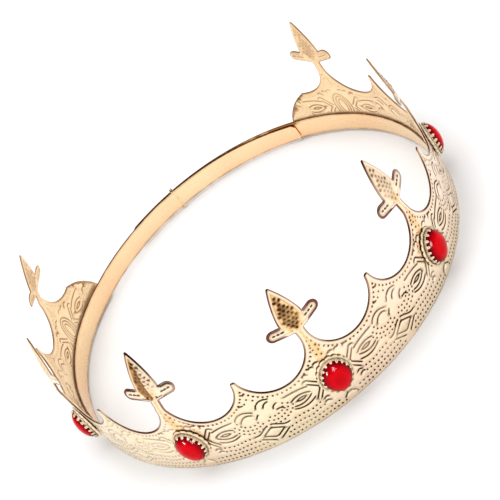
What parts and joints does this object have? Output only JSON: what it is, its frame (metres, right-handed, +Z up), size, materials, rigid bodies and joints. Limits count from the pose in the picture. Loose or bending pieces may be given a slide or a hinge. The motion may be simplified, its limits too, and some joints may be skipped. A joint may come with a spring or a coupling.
{
  "type": "adjustable costume crown",
  "caption": "Adjustable costume crown: embossed open-backed plate with arrow-topped points, oval red stones in claw bezels, and sliding head-band straps held by a wire keeper.",
  "frame": {"origin": "on the ring's axis, level with the plate's bottom edge", "axes": "+Z up along the ring's axis, -Y towards the front point, +X to the wearer's left"},
  "size_m": [0.1978, 0.1945, 0.067],
  "materials": {
    "gold_plate": "polished, embossed",
    "gold_bezel": "polished",
    "gold_strap": "satin",
    "gold_wire": "polished",
    "red_stone": "glossy"
  },
  "bodies": {
    "crown": {"crown_plate": "gold_plate", "bezel_1": "gold_bezel", "bezel_2": "gold_bezel", "bezel_3": "gold_bezel", "bezel_4": "gold_bezel", "bezel_5": "gold_bezel", "bezel_6": "gold_bezel", "bezel_7": "gold_bezel", "gem_1": "red_stone", "gem_2": "red_stone", "gem_3": "red_stone", "gem_4": "red_stone", "gem_5": "red_stone", "gem_6": "red_stone", "gem_7": "red_stone"},
    "right_band": {"right_strap": "gold_strap", "wire_keeper": "gold_wire"},
    "left_band": {"left_strap": "gold_strap"}
  },
  "joints": [
    {"name": "right_band_slide", "type": "hinge", "parent": "crown", "child": "right_band", "pos_m": [0, 0, 0.006], "axis": [0, 0, 1], "range_deg": [-18, 9]},
    {"name": "left_band_slide", "type": "hinge", "parent": "crown", "child": "left_band", "pos_m": [0, 0, 0.006], "axis": [0, 0, 1], "range_deg": [-9, 18]}
  ],
  "couplings": [
    {"joint": "left_band_slide", "follows": "right_band_slide", "ratio": -1}
  ]
}
